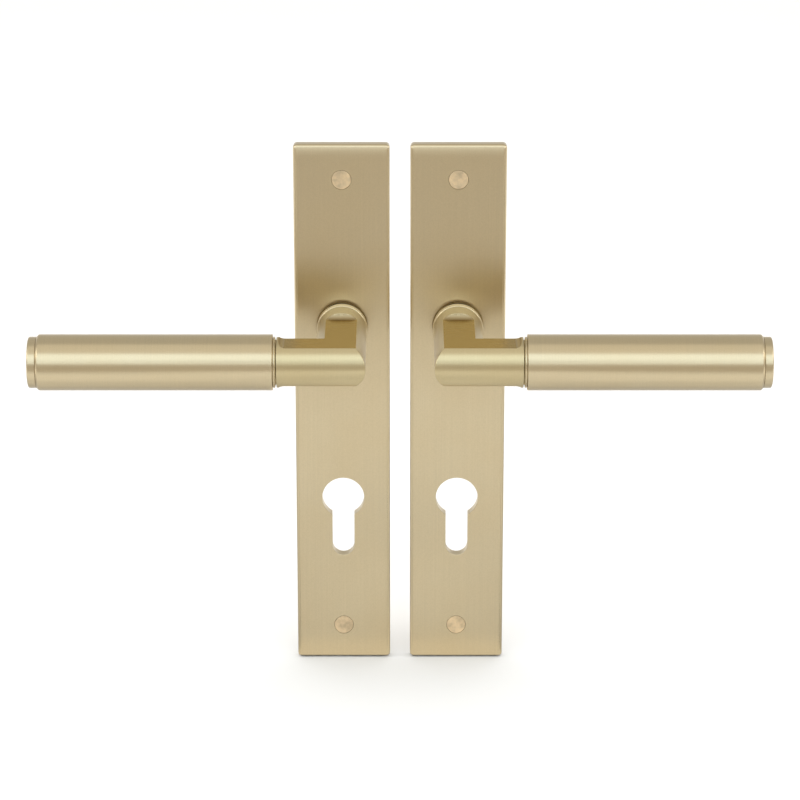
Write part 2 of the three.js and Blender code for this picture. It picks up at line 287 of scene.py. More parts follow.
class Nodes:
    """A short way to write a material's nodes."""

    def __init__(self, name):
        self.material = bpy.data.materials.new(name)
        self.material.use_nodes = True
        self.tree = self.material.node_tree
        self.shader = self.tree.nodes["Principled BSDF"]
        self.place = self.add("ShaderNodeTexCoord").outputs["Object"]

    def add(self, kind, **settings):
        node = self.tree.nodes.new(kind)
        for key, value in settings.items():
            setattr(node, key, value)
        return node

    def link(self, source, target):
        self.tree.links.new(source, target)

    def noise(self, scale, detail=3.0, roughness=0.55):
        """Noise whose scale is given for each axis, in features a metre."""
        mapping = self.add("ShaderNodeMapping")
        mapping.inputs["Scale"].default_value = scale
        texture = self.add("ShaderNodeTexNoise")
        texture.inputs["Scale"].default_value = 1.0
        texture.inputs["Detail"].default_value = detail
        texture.inputs["Roughness"].default_value = roughness
        self.link(self.place, mapping.inputs["Vector"])
        self.link(mapping.outputs["Vector"], texture.inputs["Vector"])
        return texture.outputs["Fac"]

    def spread(self, value, low, high, start=0.3, end=0.7):
        """Maps start..end of a value to low..high."""
        node = self.add("ShaderNodeMapRange")
        node.inputs["From Min"].default_value = start
        node.inputs["From Max"].default_value = end
        node.inputs["To Min"].default_value = low
        node.inputs["To Max"].default_value = high
        self.link(value, node.inputs["Value"])
        return node.outputs["Result"]

    def maths(self, operation, first, second):
        node = self.add("ShaderNodeMath", operation=operation)
        for socket, value in zip(node.inputs, (first, second)):
            if isinstance(value, (int, float)):
                socket.default_value = value
            else:
                self.link(value, socket)
        return node.outputs["Value"]

    def mix(self, share, first, second, blend="MIX"):
        node = self.add("ShaderNodeMix", data_type="RGBA", blend_type=blend)
        sockets = {"Factor": share, "A": first, "B": second}
        for name, value in sockets.items():
            socket = [s for s in node.inputs if s.name == name and s.enabled][0]
            if isinstance(value, (int, float)):
                socket.default_value = value
            elif isinstance(value, tuple):
                socket.default_value = (*value, 1.0)
            else:
                self.link(value, socket)
        return [s for s in node.outputs if s.enabled][0]

    def bump(self, height, distance, strength=1.0):
        node = self.add("ShaderNodeBump")
        node.inputs["Strength"].default_value = strength
        node.inputs["Distance"].default_value = distance
        self.link(height, node.inputs["Height"])
        self.link(node.outputs["Normal"], self.shader.inputs["Normal"])

    def edges(self):
        """Near 1 close to an edge and 0 elsewhere."""
        geometry = self.add("ShaderNodeNewGeometry")
        rounded = self.add("ShaderNodeBevel", samples=4)
        rounded.inputs["Radius"].default_value = EDGE_HIGHLIGHT_RADIUS
        turned_away = self.add("ShaderNodeVectorMath", operation="DOT_PRODUCT")
        self.link(rounded.outputs["Normal"], turned_away.inputs[0])
        self.link(geometry.outputs["Normal"], turned_away.inputs[1])
        return self.spread(turned_away.outputs["Value"], 1.0, 0.0, 0.85, 0.99)

    def tangent(self, direction):
        """Stretches highlights along a direction of the piece."""
        vector = self.add("ShaderNodeCombineXYZ")
        for socket, value in zip(vector.inputs, direction):
            socket.default_value = value
        turned_vector = self.add("ShaderNodeVectorTransform", vector_type="VECTOR")
        turned_vector.convert_from = "OBJECT"
        turned_vector.convert_to = "WORLD"
        self.link(vector.outputs["Vector"], turned_vector.inputs["Vector"])
        self.link(turned_vector.outputs["Vector"], self.shader.inputs["Tangent"])


ACROSS = 2600.0  # brushed lines a metre, across the brushing
ALONG = 14.0  # and along it
COARSE = 0.22  # scale of the coarser lines, as a share of the fine ones
CLOUD = 28.0  # broad patches a metre
GRAIN = 1900.0  # fine grain, in specks a metre
MOTTLE = 260.0  # tarnished patches a metre
LINE_DEPTH = 0.000006  # of the brushed lines, in metres
NYLON_GRAIN = 900.0
COAT_ROUGHNESS = 0.35
EDGE_HIGHLIGHT_RADIUS = 0.0005  # how far from an edge the painted highlight reaches, in metres


def brushed_scale(brush):
    """Noise scale for lines that run round or along the given axes."""
    return tuple(ALONG if axis in brush else ACROSS for axis in "xyz")


def brushed_metal(name, colour, roughness, stretch, brush, streak, stretch_axis, coat=0.0,
                  edge_tint=(1.0, 1.0, 1.0), mottle=0.0):
    """Satin metal.

    brush names the axes that the fine lines follow and streak is their contrast. stretch draws out the
    highlights along stretch_axis, and mottle darkens small patches.
    """
    m = Nodes(name)
    lines = m.noise(brushed_scale(brush), detail=2.0, roughness=0.5)
    coarse = m.noise(tuple(s * COARSE for s in brushed_scale(brush)), detail=2.0)
    cloud = m.noise((CLOUD, CLOUD, CLOUD), detail=3.0)
    edge = m.edges()
    light = tuple(min(1.0, c * (1 + streak)) for c in colour)
    dark = tuple(c * (1 - streak) for c in colour)
    tone = m.mix(m.spread(lines, 0.0, 1.0), dark, light)
    tone = m.mix(m.spread(coarse, 0.0, 0.5), tone, tuple(c * 0.97 for c in colour))
    warm = (colour[0], colour[1] * 0.975, colour[2] * 0.93)
    tone = m.mix(m.spread(cloud, 0.0, 0.7), tone, warm)
    if mottle > 0:
        patches = m.noise((MOTTLE, MOTTLE, MOTTLE), detail=2.0)
        tone = m.mix(m.spread(patches, 0.0, mottle), tone, tuple(c * 0.62 for c in colour))
    speck = m.noise((GRAIN, GRAIN, GRAIN), detail=1.0)
    tone = m.mix(m.spread(speck, 0.0, 1.0), tone, (0.95, 0.95, 0.95), "MULTIPLY")
    # Painted highlight: the colour is lighter close to an edge.
    edge_highlight_tone = tuple(min(1.0, c * 1.1) for c in colour)
    tone = m.mix(m.maths("MULTIPLY", edge, 0.35), tone, edge_highlight_tone)
    m.link(tone, m.shader.inputs["Base Color"])
    fine = m.spread(lines, -0.015, 0.015)
    broad = m.spread(cloud, roughness - 0.02, roughness + 0.02)
    rough = m.maths("ADD", fine, broad)
    rough = m.maths("SUBTRACT", rough, m.maths("MULTIPLY", edge, 0.05))
    m.link(rough, m.shader.inputs["Roughness"])
    m.shader.inputs["Metallic"].default_value = 1.0
    m.shader.inputs["Anisotropic"].default_value = stretch
    m.shader.inputs["Coat Weight"].default_value = coat
    m.shader.inputs["Coat Roughness"].default_value = COAT_ROUGHNESS
    m.shader.inputs["Specular Tint"].default_value = (*edge_tint, 1.0)
    m.tangent(stretch_axis)
    m.bump(lines, LINE_DEPTH, 0.3)
    return m.material


def nylon(name, colour):
    m = Nodes(name)
    grain = m.noise((NYLON_GRAIN, NYLON_GRAIN, NYLON_GRAIN), detail=4.0)
    cloud = m.noise((60.0, 60.0, 60.0))
    tone = m.mix(m.spread(cloud, 0.0, 1.0), colour, tuple(c * 1.5 for c in colour))
    m.link(tone, m.shader.inputs["Base Color"])
    m.link(m.spread(grain, 0.48, 0.66), m.shader.inputs["Roughness"])
    m.bump(grain, 0.00002, 0.4)
    return m.material


BRASS = (0.65, 0.54, 0.348)
BAR_BRASS = (0.60, 0.495, 0.285)
# Painted shade: the milled flats get a darker copy of the brass and a yellower tint at grazing angles, for
# the dim reflection of the plate in them.
SHADED_FLAT_BRASS = (0.37, 0.272, 0.12)
SHADED_FLAT_TINT = (1.0, 0.9, 0.7)
# Painted shade: a darker copy of the brass for the hollows at the ends of the flats.
SHADED_HOLLOW_BRASS = (0.46, 0.365, 0.21)
# Painted highlight: a lighter copy of the brass for the rim.
HIGHLIT_RIM_BRASS = (0.80, 0.70, 0.50)
# Painted light: the core is lighter so the shaded gaps beside the grip ring look less dark.
GAP_LIT_CORE_BRASS = (0.85, 0.69, 0.38)
PLUG_BRASS = (0.86, 0.675, 0.43)
STEEL = (0.52, 0.53, 0.55)
DARK_STEEL = (0.22, 0.225, 0.24)
OUT_OF_DOOR = (0, 1, 0)
OUTBOARD = (1, 0, 0)

LOOKS = {
    "plate": brushed_metal("plate_brass", BRASS, 0.34, 0.75, "z", 0.035, OUTBOARD, coat=0.3),
    "bar": brushed_metal("bar_brass", BAR_BRASS, 0.36, 0.6, "yz", 0.05, OUTBOARD, coat=0.3),
    "neck": brushed_metal("neck_brass", BAR_BRASS, 0.31, 0.6, "xz", 0.05, OUT_OF_DOOR, coat=0.3),
    "flat": brushed_metal("shaded_flat_brass", SHADED_FLAT_BRASS, 0.26, 0.3, "x", 0.015, OUTBOARD, edge_tint=SHADED_FLAT_TINT),
    "hollow": brushed_metal("shaded_hollow_brass", SHADED_HOLLOW_BRASS, 0.5, 0.2, "x", 0.04, OUTBOARD),
    "rim": brushed_metal("highlit_rim_brass", HIGHLIT_RIM_BRASS, 0.36, 0.3, "xy", 0.04, OUT_OF_DOOR, coat=0.3),
    "grip": brushed_metal("grip_brass", BRASS, 0.31, 0.6, "yz", 0.055, OUTBOARD, coat=0.3),
    "core": brushed_metal("gap_lit_core_brass", GAP_LIT_CORE_BRASS, 0.45, 0.3, "yz", 0.04, OUTBOARD, coat=0.2),
    "plug": brushed_metal("plug_brass", PLUG_BRASS, 0.5, 0.2, "xz", 0.06, OUT_OF_DOOR, coat=0.2, mottle=0.9),
    "steel": brushed_metal("zinc_steel", STEEL, 0.34, 0.2, "yz", 0.06, OUTBOARD),
    "spring": brushed_metal("spring_steel", DARK_STEEL, 0.3, 0.2, "xz", 0.08, OUTBOARD),
    # Painted shade: the bush takes the brown that the shaded gap behind the rim shows.
    "nylon": nylon("gap_shade_brown_nylon", (0.42, 0.28, 0.10)),
}

# -------------------- from a drawing to a piece in the frame

SHARP = math.radians(32)  # folds at least this sharp are kept as edges
LEVEL = 0.99999  # faces that look this squarely along x or y are shaded flat


def to_world(side):
    mirror = -1 if side == "left" else 1
    rows = (
        (mirror, 0, 0, mirror * HANDLE_X),
        (0, 0, -1, 0),
        (0, 1, 0, 0),
        (0, 0, 0, 1),
    )
    return Matrix.Scale(MM, 4) @ Matrix(rows)


def mark_sharp(mesh_bm):
    for edge in mesh_bm.edges:
        if len(edge.link_faces) == 2:
            edge.smooth = edge.calc_face_angle(0.0) < SHARP
    for face in mesh_bm.faces:
        face.smooth = max(abs(face.normal.x), abs(face.normal.y)) < LEVEL


def piece(name, side, bm, looks, body):
    """Turns a drawing into a piece that stands for the CAD node of the same name and side."""
    bmesh.ops.transform(bm, matrix=to_world(side), verts=bm.verts)
    bmesh.ops.recalc_face_normals(bm, faces=bm.faces)
    mark_sharp(bm)
    node = f"{side}_{name}"
    mesh = bpy.data.meshes.new(f"{node}_mesh")
    bm.to_mesh(mesh)
    bm.free()
    made = bpy.data.objects.new(f"{node}_piece", mesh)
    bpy.context.scene.collection.objects.link(made)
    for look in looks:
        mesh.materials.append(LOOKS[look])
    weighted = made.modifiers.new("weighted", "WEIGHTED_NORMAL")
    weighted.keep_sharp = True
    weighted.weight = 60
    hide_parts(node)
    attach(made, body)
    return made


# -------------------- backplate


def cut(bm, levels, outline, middle):
    """The wall of a hole, from the back to the front, and its first and last rings."""
    dx, dy = middle
    sections = [[(u + dx, v + dy, z) for u, v in outline(size)] for size, z in levels]
    rings = skin(bm, sections, caps=False)
    return rings[0], rings[-1]


def ring_edges(bm, ring):
    return [bm.edges.get((a, b)) for a, b in zip(ring, ring[1:] + ring[:1])]


def crown(height):
    """How far the face falls away close to the plate's top."""
    share = max(0.0, 1 - (PLATE_HIGH.y - height) / CROWN_LENGTH)
    return CROWN_DROP * share ** CROWN_POWER


def backplate():
    bm = bmesh.new()
    face = PLATE_FACE
    section = [(CRISP, 0.0), (0.0, CRISP)]
    for u, v in arc((PLATE_EDGE, face - PLATE_EDGE), PLATE_EDGE, 180, 90, 10):
        section.append((u, v))
    outline = []
    for inset, z in section:
        corner = PLATE_CORNER - inset
        flat = rounded_rectangle(PLATE_WIDTH - 2 * inset, PLATE_HEIGHT - 2 * inset, corner)
        outline.append([(u, v + PLATE_MIDDLE, z) for u, v in flat])
    for k in range(1, CROWN_STEPS + 1):
        inset = PLATE_EDGE + 0.02 * k
        inset_end = PLATE_EDGE + (CROWN_LENGTH - PLATE_EDGE) * k / CROWN_STEPS
        flat = rounded_rectangle(PLATE_WIDTH - 2 * inset, PLATE_HEIGHT - 2 * inset_end, 0.4)
        outline.append([(u, v + PLATE_MIDDLE, face) for u, v in flat])
    outline = [[(x, y, z - crown(y) * z / face) for x, y, z in ring] for ring in outline]
    rings = skin(bm, outline, caps=False)
    back, front = [rings[0]], [rings[-1]]
    low_edge = [(CRISP, 0.0), (0.0, CRISP)]
    profile_levels = low_edge + [(0.0, face - CRISP), (0.25 * CRISP, face - 0.4 * CRISP), (CRISP, face)]
    collar_levels = [
        (RECESS_RADIUS + CRISP, 0.0),
        (RECESS_RADIUS, CRISP),
        (RECESS_RADIUS, RECESS_DEPTH),
        (COLLAR_HOLE, RECESS_DEPTH),
        (COLLAR_HOLE, face - CRISP),
        (COLLAR_HOLE + CRISP, face),
    ]
    seat_levels = [
        (FIXING_HOLE + CRISP, 0.0),
        (FIXING_HOLE, CRISP),
        (FIXING_HOLE, SEAT_FLOOR),
        (SEAT_RADIUS, SEAT_FLOOR),
        (SEAT_RADIUS, face - 0.04),
        (SEAT_RADIUS + 0.04, face),
    ]
    holes = [(profile_levels, euro_profile, (0.0, -CYLINDER_BELOW_LEVER))]
    holes.append((collar_levels, lambda r: circle(r, SIDES), (0.0, 0.0)))
    for height in FIXING_HEIGHTS.values():
        holes.append((seat_levels, circle, (0.0, height)))
    for levels, shape, middle in holes:
        first, last = cut(bm, levels, shape, middle)
        back.append(first)
        front.append(last)
    for loops in (back, front):
        edges = [edge for ring in loops for edge in ring_edges(bm, ring)]
        bmesh.ops.triangle_fill(bm, use_beauty=True, use_dissolve=False, edges=edges)
    return bm


def plug(height):
    """A round plug, slightly dished and turned in fine rings, its edge broken."""
    bm = bmesh.new()
    radius = (PLUG_HIGH.x - PLUG_LOW.x) / 2
    back, front = PLUG_LOW.z, PLUG_HIGH.z
    edge, drop, dish = 0.9, 0.03, 0.05
    profile = softened([
        (radius - 0.6, back, 0),
        (radius, back, 0.15),
        (radius, front, 0.22),
        (radius - edge, front - drop, 0.3),
    ], steps=3)
    steps = 2 * int((radius - edge - 0.4) / TURNING_PITCH)  # a ridge and a groove to each ring
    for k in range(steps + 1):
        along = front - drop - dish * k / steps - TURNING_DEPTH * (k % 2)
        profile.append((radius - edge - 0.1 - k * TURNING_PITCH / 2, along))
    turned(bm, profile, "z", FINE_SIDES, (0.0, height))
    return bm


# -------------------- fixings


def thread(radius, depth, pitch, start, end, steps=6):
    """Sections of a helical thread along z, its depth fading out at both ends."""
    sections = []
    count = round((end - start) / pitch * steps)
    for k in range(count + 1):
        along = start + (end - start) * k / count
        fade = min(1.0, k / steps, (count - k) / steps)
        ring = []
        for i in range(FINE_SIDES):
            phase = (along / pitch - i / FINE_SIDES) % 1
            height = depth * fade * (1 - abs(2 * phase - 1))
            ring.append((*turn(360 * i / FINE_SIDES, radius - height), along))
        sections.append(ring)
    return sections


def hexagons(levels, axis="z"):
    """Sections of a hexagon socket from (middle to a flat, along)."""
    return [along_axis(polygon_ring(6, inner, FINE_SIDES), along, axis) for inner, along in levels]


def fixing_head():
    """Sections of a flat head with a hexagon socket, from its back to the bottom of the socket."""
    radius = (SCREW_HIGH.x - SCREW_LOW.x) / 2
    front, floor = SCREW_HIGH.z, HEAD_BACK + 0.6
    lead_in = 0.1
    outside = softened([
        (radius - 1.4, HEAD_BACK, 0),
        (radius, HEAD_BACK, 0.12),
        (radius, front, 0.3),
        (HEX_SOCKET + 0.5, front, 0),
    ])
    mouth = [(HEX_SOCKET + lead_in, front), (HEX_SOCKET, front - lead_in)]
    return circles(outside) + hexagons(mouth + [(HEX_SOCKET, floor), (0.3, floor - 0.25)])


def raised(sections, height):
    return [[(x, y + height, z) for x, y, z in section] for section in sections]


def fixing_screw(height):
    bm = bmesh.new()
    tip = SCREW_LOW.z
    sections = circles([(1.2, tip), (SCREW_RADIUS - 0.3, tip + 0.35)])
    sections += thread(SCREW_RADIUS, THREAD_DEPTH, THREAD_PITCH, tip + 0.5, HEAD_BACK - 1.4)
    sections += circles([(SCREW_RADIUS, HEAD_BACK - 1.2), (SCREW_RADIUS, HEAD_BACK - 0.01)])
    skin(bm, raised(sections + fixing_head(), height))
    return bm


def fixing_post(height):
    bm = bmesh.new()
    tip = SCREW_LOW.z
    outside = softened([
        (POST_BORE + 0.4, tip, 0),
        (POST_RADIUS, tip, 0.25),
        (POST_RADIUS, HEAD_BACK - 0.2, 0.2),
        (POST_RADIUS + 0.3, HEAD_BACK, 0),
    ])
    tapped = thread(POST_BORE + 0.25, THREAD_DEPTH, THREAD_PITCH, tip + 0.5, POST_BORE_END - 0.4)
    sections = circles([(POST_BORE, POST_BORE_END)]) + tapped[::-1] + circles(outside)
    skin(bm, raised(sections + fixing_head(), height))
    return bm


# -------------------- pieces in the pocket


def neck_bush():
    bm = bmesh.new()
    inner, outer = SHANK_RADIUS + GAP, BUSH_HIGH.x
    low, high = BUSH_LOW.z, BUSH_HIGH.z
    soft = 0.22
    profile = [(inner, low + soft), (inner + soft, low), (outer - soft, low), (outer, low + soft)]
    profile += [(outer, high - soft), (outer - soft, high), (inner + soft, high), (inner, high - soft)]
    turned(bm, profile, "z", SIDES, closed=True)
    return bm


def slab(outer, holes, low, high, soft):
    """A flat sheet cut to an outline, with its edges broken."""
    bm = bmesh.new()
    faces = {low: [], high: []}
    for points, sign in [(outer, -1)] + [(hole, 1) for hole in holes]:
        inner = moved_outline(points, sign * soft)
        levels = ((inner, low), (points, low + soft), (points, high - soft), (inner, high))
        rings = skin(bm, [along_axis(shape, z, "z") for shape, z in levels], caps=False)
        faces[low].append(rings[0])
        faces[high].append(rings[-1])
    for loops in faces.values():
        edges = [edge for ring in loops for edge in ring_edges(bm, ring)]
        bmesh.ops.triangle_fill(bm, use_beauty=True, use_dissolve=False, edges=edges)
    return bm


def moved_outline(points, amount):
    """An anticlockwise outline moved along its own normals, outwards when amount is positive."""
    moved = []
    for i, point in enumerate(points):
        before = Vector(points[i - 1])
        after = Vector(points[(i + 1) % len(points)])
        run = (after - before).normalized()
        moved.append((point[0] + run.y * amount, point[1] - run.x * amount))
    return moved


def drive_washer():
    outer = WASHER_HIGH.x
    tab_half = 1.6
    tab_top = WASHER_HIGH.y
    meet = math.degrees(math.asin(tab_half / outer))
    outline = arc((0, 0), outer, 90 + meet, 450 - meet, 90)
    outline += arc((tab_half - 0.3, tab_top - 0.3), 0.3, 0, 90, 4)
    outline += arc((-tab_half + 0.3, tab_top - 0.3), 0.3, 90, 180, 4)
    return slab(outline, [circle(SHANK_RADIUS + GAP, 90)], WASHER_LOW.z, WASHER_HIGH.z, 0.08)


def circlip():
    """An open spring ring with a round eye at each end, each with its hole for the pliers."""
    inner, outer = GROOVE_RADIUS + 0.15, 10.2
    lug, opening = 1.25, 24
    eye_at = inner + lug + 0.05
    start, end = -90 + opening, 270 - opening
    eye_start = turn(start, eye_at)
    eye_end = turn(end, eye_at)
    spread_in = math.degrees(2 * math.asin(0.9 * lug / (2 * eye_at)))
    outline = arc((0, 0), outer, start + spread_in, end - spread_in, 80)
    outline += arc(eye_end, lug, end - 62, end + 150, 16)
    outline += arc((0, 0), inner, end - spread_in - 3, start + spread_in + 3, 80)
    outline += arc(eye_start, lug, start - 150, start + 62, 16)
    holes = [circle(0.5, 16, eye_start), circle(0.5, 16, eye_end)]
    return slab(outline, holes, CLIP_LOW.z, CLIP_HIGH.z, 0.06)


def torsion_spring():
    """One turn of round wire, hooked outwards at one end."""
    bm = bmesh.new()
    sides, steps = 16, 220
    start, end = 100.8, 428.4
    hook_share, hook_reach = 0.07, 2.2
    level = (WASHER_LOW.z + WASHER_HIGH.z) / 2
    sections = []
    for k in range(steps + 1):
        t = k / steps
        hook = min(1.0, max(0.0, (t - 1 + hook_share) / hook_share))
        hook = hook * hook * (3 - 2 * hook)
        angle = start + (end - start) * t
        reach = SPRING_RADIUS + hook_reach * hook
        taper = SPRING_WIRE * min(1.0, 0.7 + min(t, 1 - t) * 60)
        ring = []
        for i in range(sides):
            out, rise = turn(360 * i / sides, taper)
            ring.append((*turn(angle, reach + out), level + rise))
        sections.append(ring)
    skin(bm, sections)
    return bm


# -------------------- lever body


SIDE_STEPS = 28  # round each side of the milled bar
TOP_STEPS = 22  # across each flat
FILLET_STEPS = 8
FLAT_ANGLE = math.degrees(math.asin(BAR_FLAT / BAR_RADIUS))


def ring_angles():
    """Angles round the bar: right side, top, left side, bottom. The flats' edges are among them."""
    angles = []
    sectors = (
        (-FLAT_ANGLE, FLAT_ANGLE, SIDE_STEPS),
        (FLAT_ANGLE, 180 - FLAT_ANGLE, TOP_STEPS),
        (180 - FLAT_ANGLE, 180 + FLAT_ANGLE, SIDE_STEPS),
        (180 + FLAT_ANGLE, 360 - FLAT_ANGLE, TOP_STEPS),
    )
    for start, end, steps in sectors:
        angles += [start + (end - start) * i / steps for i in range(steps)]
    return angles


ANGLES = ring_angles()


def on_flat(angle):
    return abs(turn(angle)[1]) * BAR_RADIUS > BAR_FLAT + 1e-6


def runout_at(height):
    """Distance from the round end of the hollow at which it has come down to a height."""
    share = min(1.0, (BAR_RADIUS - height) / FLAT_RUNOUT)
    return FLAT_RUNOUT * (1 - math.sqrt(max(0.0, 1 - share * share)))


def milled_half(bm, place, tail, mitre, tail_steps, run_steps):
    """Half of the milled bar, from its round tail to just before the mitre. Returns its end rings.

    Distances run along the bar from the round end of the flats. place(across, up, along) sets a point.
    mitre(across) is where the mitre is.
    """
    def vertex(across, up, along):
        return bm.verts.new(place(across, up, along))

    crease, round_points = [], []
    for angle in ANGLES:
        across, up = turn(angle, BAR_RADIUS)
        round_points.append((across, up))
        crease.append(runout_at(abs(up)) if on_flat(angle) else FLAT_RUNOUT)
    rings = []
    for k in range(tail_steps + 1):
        share = k / tail_steps
        rings.append([vertex(c, u, tail + (s - tail) * share) for (c, u), s in zip(round_points, crease)])
    milled = []
    for m in range(run_steps + 1):
        ring = []
        for angle, (across, up) in zip(ANGLES, round_points):
            height = math.copysign(min(abs(up), BAR_FLAT), up)
            reach = mitre(across) - MITRE_EDGE
            ring.append(vertex(across, height, FLAT_RUNOUT + (reach - FLAT_RUNOUT) * m / run_steps))
        milled.append(ring)
    bridge(bm, rings)
    bridge(bm, milled)
    columns = {}
    for i, angle in enumerate(ANGLES):
        up = round_points[i][1]
        if not on_flat(angle):
            columns[i] = [rings[-1][i]] * (FILLET_STEPS + 1)
            continue
        begin = math.degrees(math.asin(min(1.0, (BAR_RADIUS - abs(up)) / FLAT_RUNOUT)))
        column = [rings[-1][i]]
        for k in range(1, FILLET_STEPS):
            a = math.radians(begin + (90 - begin) * k / FILLET_STEPS)
            height = math.copysign(BAR_RADIUS - FLAT_RUNOUT * math.sin(a), up)
            column.append(vertex(round_points[i][0], height, FLAT_RUNOUT * (1 - math.cos(a))))
        column.append(milled[0][i])
        columns[i] = column
    for i, angle in enumerate(ANGLES):
        j = (i + 1) % len(ANGLES)
        if not on_flat(angle) and not on_flat(ANGLES[j]):
            continue
        for k in range(FILLET_STEPS):
            corners = [columns[i][k], columns[j][k], columns[j][k + 1], columns[i][k + 1]]
            distinct = list(dict.fromkeys(corners))
            if len(distinct) > 2:
                bm.faces.new(distinct)
    return rings[0], milled[-1]


def mitre_rings(bm):
    """Sections that round the mitre's edge, between the neck and the bar."""
    steps = 4
    rings = []
    for k in range(1, steps):
        phi = math.radians(90 * k / steps)
        ring = []
        for angle in ANGLES:
            across, up = turn(angle, BAR_RADIUS)
            up = math.copysign(min(abs(up), BAR_FLAT), up)
            x = across + MITRE_EDGE * (1 - math.cos(phi))
            z = AXIS - across - MITRE_EDGE * (1 - math.sin(phi))
            ring.append(bm.verts.new((x, up, z)))
        rings.append(ring)
    return rings


def square_ring(half):
    """The socket's square, with a point for each angle of the bar's rings."""
    points = []
    for angle in ANGLES:
        c, s = turn(angle)
        reach = half / max(abs(c), abs(s))
        points.append((c * reach, s * reach))
    for corner in (45, 135, 225, 315):
        nearest = min(range(len(ANGLES)), key=lambda i: abs((ANGLES[i] - corner + 180) % 360 - 180))
        sign = turn(corner)
        points[nearest] = (math.copysign(half, sign[0]), math.copysign(half, sign[1]))
    return points


def lever_foot(bm, first_ring):
    """The rim, the shank and the spindle socket, behind the neck's first ring."""
    profile = softened([
        (BAR_RADIUS, RIM_FRONT + 0.45, 0),
        (BAR_RADIUS - 0.08, RIM_FRONT + 0.05, 0.1),
        (RIM_RADIUS - 0.15, RIM_FRONT - 0.05, 0.1),
        (RIM_RADIUS, RIM_FRONT - 0.7, 0.4),
        (RIM_RADIUS, RIM_BACK, 0.25),
        (COLLAR_RADIUS, RIM_BACK, 0.15),
        (COLLAR_RADIUS, COLLAR_BACK, 0.15),
        (SHANK_RADIUS, COLLAR_BACK, 0.1),
        (SHANK_RADIUS, CLIP_HIGH.z + 0.1, 0.06),
        (GROOVE_RADIUS, CLIP_HIGH.z + 0.1, 0.05),
        (GROOVE_RADIUS, CLIP_LOW.z - 0.1, 0.05),
        (SHANK_RADIUS, CLIP_LOW.z - 0.1, 0.06),
        (SHANK_RADIUS, 0.3, 0.2),
        (SHANK_RADIUS - 1.5, 0.3, 0),
    ])
    rings = [first_ring]
    for radius, along in profile:
        rings.append([bm.verts.new((*turn(angle, radius), along)) for angle in ANGLES])
    for half, along in ((SOCKET_HALF + 0.3, 0.3), (SOCKET_HALF, 0.6), (SOCKET_HALF, SOCKET_DEPTH)):
        rings.append([bm.verts.new((u, v, along)) for u, v in square_ring(half)])
    bridge(bm, rings)
    bm.faces.new(rings[-1])


def bar_end(bm, last_ring):
    """The softened end of the bar and the hole that takes the core's tenon."""
    profile = softened([
        (BAR_RADIUS, BAR_END - 0.5, 0),
        (BAR_RADIUS, BAR_END, 0.12),
        (TENON_HOLE, BAR_END, 0.2),
        (TENON_HOLE, BAR_END - TENON_DEPTH, 0),
    ])
    rings = [last_ring]
    for radius, along in profile:
        rings.append([bm.verts.new((along, v, AXIS - u)) for u, v in (turn(a, radius) for a in ANGLES)])
    bridge(bm, rings)
    bm.faces.new(rings[-1])


def crease_edges(bm):
    """The edges of the flats, where the milled surface meets the round one."""
    found = []
    limit = math.radians(33)
    for edge in bm.edges:
        if len(edge.link_faces) != 2 or edge.calc_face_angle(0.0) < limit:
            continue
        middle = (edge.verts[0].co + edge.verts[1].co) / 2
        on_neck = middle.z > NECK_FLAT_START - 0.05
        on_bar = middle.x < BAR_FLAT_END + 0.05
        outside = abs(middle.y) > BAR_FLAT - 0.05
        if on_neck and on_bar and outside:
            found.append(edge)
    return found


def lever_body():
    bm = bmesh.new()

    def on_neck(across, up, along):
        return across, up, NECK_FLAT_START + along

    def on_bar(across, up, along):
        return BAR_FLAT_END - along, up, AXIS - across

    neck_tail = RIM_FRONT + 0.6 - NECK_FLAT_START
    foot, neck_end = milled_half(bm, on_neck, neck_tail, lambda c: AXIS - c - NECK_FLAT_START, 8, 10)
    end, bar_start = milled_half(bm, on_bar, BAR_FLAT_END - BAR_END + 0.6, lambda c: BAR_FLAT_END - c, 2, 8)
    bridge(bm, [neck_end, *mitre_rings(bm), bar_start])
    lever_foot(bm, foot)
    bar_end(bm, end)
    bmesh.ops.remove_doubles(bm, verts=bm.verts, dist=0.0005)
    bmesh.ops.recalc_face_normals(bm, faces=bm.faces)
    bmesh.ops.bevel(
        bm,
        geom=crease_edges(bm),
        offset=FLAT_EDGE,
        offset_type="OFFSET",
        segments=2,
        profile=0.5,
        affect="EDGES",
        clamp_overlap=True,
    )
    # The flats and hollows take darker copies of the brass (painted shade) and the rim a lighter one
    # (painted highlight).
    for face in bm.faces:
        centre = face.calc_center_median()
        face.material_index = 0 if centre.x > AXIS - centre.z else 1
        if milled(centre, face.normal):
            face.material_index = 2 if abs(centre.y) < BAR_FLAT + 0.01 else 3
        if centre.z < RIM_FRONT and math.hypot(centre.x, centre.y) > BAR_RADIUS:
            face.material_index = 4
    return bm


def milled(centre, normal):
    """True on the flats and in the hollows at their ends."""
    across = centre.x if centre.x < AXIS - centre.z else centre.z - AXIS
    inside = math.hypot(across, centre.y) < BAR_RADIUS - 0.02
    outside = abs(centre.y) > BAR_FLAT - 0.05
    return inside and outside and abs(normal.y) > 0.3


def grub_cutter():
    bm = bmesh.new()
    profile = [(GRUB_HOLE, -BAR_RADIUS - 1), (GRUB_HOLE, -SOCKET_HALF + 0.5)]
    turned(bm, profile, "y", 32, (0.0, GRUB_AT))
    return bm


